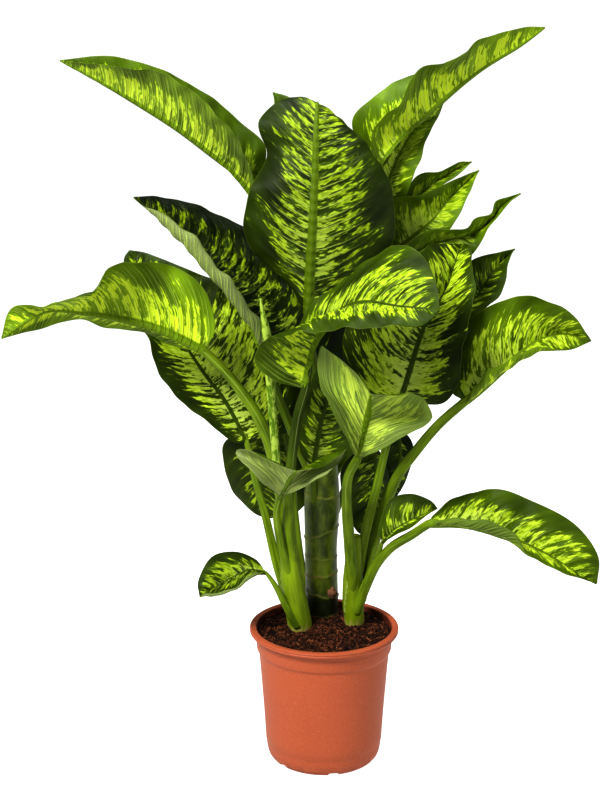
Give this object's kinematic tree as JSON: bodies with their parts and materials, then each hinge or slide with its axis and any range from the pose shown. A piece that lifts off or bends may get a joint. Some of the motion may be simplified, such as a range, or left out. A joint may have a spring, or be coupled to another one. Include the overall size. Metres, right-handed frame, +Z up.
{
  "type": "potted dieffenbachia",
  "caption": "Potted dieffenbachia with variegated leaves arching outwards on long stalks from a thick cane and side shoots, in a round plastic nursery pot.",
  "frame": {"origin": "middle of the underside of the pot, on the surface it stands on", "axes": "+Z up; the best side of the plant faces -Y, with +X to its right"},
  "size_m": [0.7833, 0.4134, 1.0156],
  "materials": {
    "pot": "matte",
    "soil": "rough",
    "leaf": "satin",
    "stalk": "satin",
    "cane": "satin",
    "spear": "satin",
    "bud": "matte"
  },
  "bodies": {
    "root": {"bud": "bud", "cane": "cane", "leaf_arching_left": "leaf", "leaf_back_left": "leaf", "leaf_behind_hero": "leaf", "leaf_behind_right": "leaf", "leaf_big_right": "leaf", "leaf_centre_back": "leaf", "leaf_centre_right": "leaf", "leaf_dark_right": "leaf", "leaf_front_centre": "leaf", "leaf_front_right": "leaf", "leaf_front_saddle": "leaf", "leaf_hanging_far_right": "leaf", "leaf_hanging_right": "leaf", "leaf_hero": "leaf", "leaf_long_left": "leaf", "leaf_long_right": "leaf", "leaf_low_left": "leaf", "leaf_low_right": "leaf", "leaf_middle_left": "leaf", "leaf_small_right": "leaf", "leaf_tiny_left": "leaf", "leaf_twisted_right": "leaf", "leaf_upper_right": "leaf", "leaf_upper_right_small": "leaf", "left_shoot": "cane", "pot": "pot", "right_shoot": "cane", "soil": "soil", "spear": "spear", "stalk_arching_left": "stalk", "stalk_back_left": "stalk", "stalk_behind_hero": "stalk", "stalk_behind_right": "stalk", "stalk_big_right": "stalk", "stalk_centre_back": "stalk", "stalk_centre_right": "stalk", "stalk_dark_right": "stalk", "stalk_front_centre": "stalk", "stalk_front_right": "stalk", "stalk_front_saddle": "stalk", "stalk_hanging_far_right": "stalk", "stalk_hanging_right": "stalk", "stalk_hero": "stalk", "stalk_long_left": "stalk", "stalk_long_right": "stalk", "stalk_low_left": "stalk", "stalk_low_right": "stalk", "stalk_middle_left": "stalk", "stalk_small_right": "stalk", "stalk_tiny_left": "stalk", "stalk_twisted_right": "stalk", "stalk_upper_right": "stalk", "stalk_upper_right_small": "stalk"}
  },
  "joints": []
}
